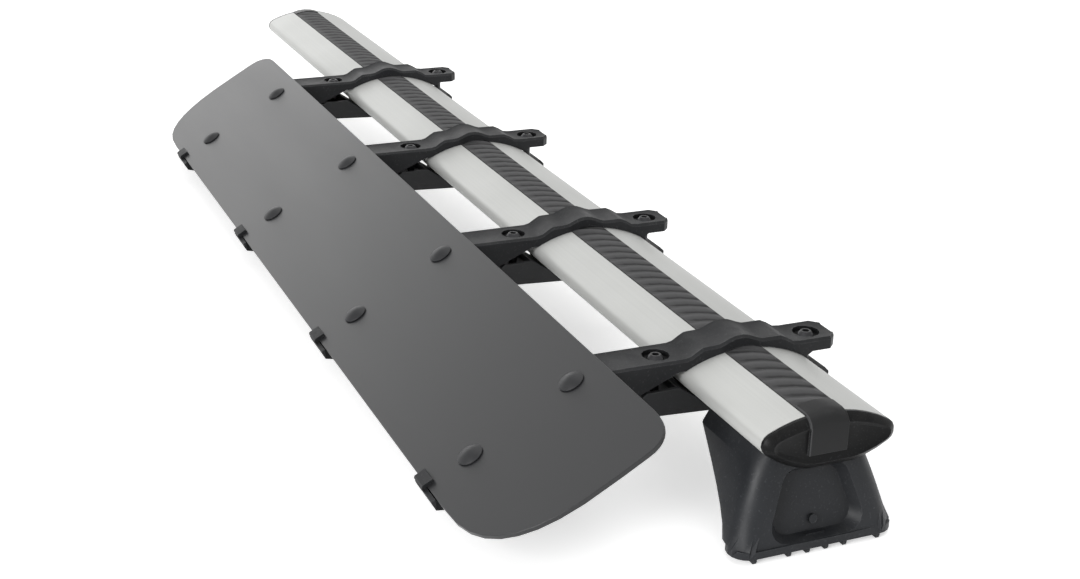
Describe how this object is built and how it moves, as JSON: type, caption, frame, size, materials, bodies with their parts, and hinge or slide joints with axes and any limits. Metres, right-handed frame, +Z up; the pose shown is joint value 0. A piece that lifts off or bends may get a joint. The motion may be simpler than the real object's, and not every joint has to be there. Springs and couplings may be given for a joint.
{
  "type": "roof rack wind fairing",
  "caption": "Tilted sheet fairing on moulded brackets clamped round an aerofoil roof rack crossbar, with its ribbed strip, end caps and flared leg.",
  "frame": {"origin": "middle of the flat sole under the leg, where it stands on the vehicle", "axes": "+X along the crossbar towards the end that stands on the leg, -Y towards the front of the vehicle, where the panel is, +Z up"},
  "size_m": [1.0562, 0.2612, 0.093],
  "materials": {
    "panel": "satin",
    "panel_cap": "satin",
    "panel_screw": "satin",
    "bracket": "fine grain",
    "clamp_jaw": "fine grain",
    "jaw_pad": "matt",
    "clamp_bolt": "black coated steel",
    "crossbar": "satin anodised",
    "rubber_strip": "matt",
    "end_cap": "satin",
    "leg": "fine grain",
    "leg_steel": "satin"
  },
  "bodies": {
    "root": {"fairing_panel": "panel", "panel_cap_upper_1": "panel_cap", "panel_screw_upper_1": "panel_screw", "panel_cap_upper_2": "panel_cap", "panel_screw_upper_2": "panel_screw", "panel_cap_upper_3": "panel_cap", "panel_screw_upper_3": "panel_screw", "panel_cap_upper_4": "panel_cap", "panel_screw_upper_4": "panel_screw", "panel_cap_lower_1": "panel_cap", "panel_screw_lower_1": "panel_screw", "panel_cap_lower_2": "panel_cap", "panel_screw_lower_2": "panel_screw", "panel_cap_lower_3": "panel_cap", "panel_screw_lower_3": "panel_screw", "panel_cap_lower_4": "panel_cap", "panel_screw_lower_4": "panel_screw", "bracket_1": "bracket", "clamp_jaw_1": "clamp_jaw", "jaw_pad_1": "jaw_pad", "clamp_bolt_front_1": "clamp_bolt", "clamp_nut_front_1": "clamp_bolt", "clamp_bolt_rear_1": "clamp_bolt", "clamp_nut_rear_1": "clamp_bolt", "bracket_2": "bracket", "clamp_jaw_2": "clamp_jaw", "jaw_pad_2": "jaw_pad", "clamp_bolt_front_2": "clamp_bolt", "clamp_nut_front_2": "clamp_bolt", "clamp_bolt_rear_2": "clamp_bolt", "clamp_nut_rear_2": "clamp_bolt", "bracket_3": "bracket", "clamp_jaw_3": "clamp_jaw", "jaw_pad_3": "jaw_pad", "clamp_bolt_front_3": "clamp_bolt", "clamp_nut_front_3": "clamp_bolt", "clamp_bolt_rear_3": "clamp_bolt", "clamp_nut_rear_3": "clamp_bolt", "bracket_4": "bracket", "clamp_jaw_4": "clamp_jaw", "jaw_pad_4": "jaw_pad", "clamp_bolt_front_4": "clamp_bolt", "clamp_nut_front_4": "clamp_bolt", "clamp_bolt_rear_4": "clamp_bolt", "clamp_nut_rear_4": "clamp_bolt", "crossbar": "crossbar", "rubber_strip": "rubber_strip", "end_cap_near": "end_cap", "end_cap_far": "end_cap", "leg": "leg", "leg_channel_plate": "leg_steel", "leg_bolt_inner": "leg_steel", "leg_bolt_outer": "leg_steel"}
  },
  "joints": []
}
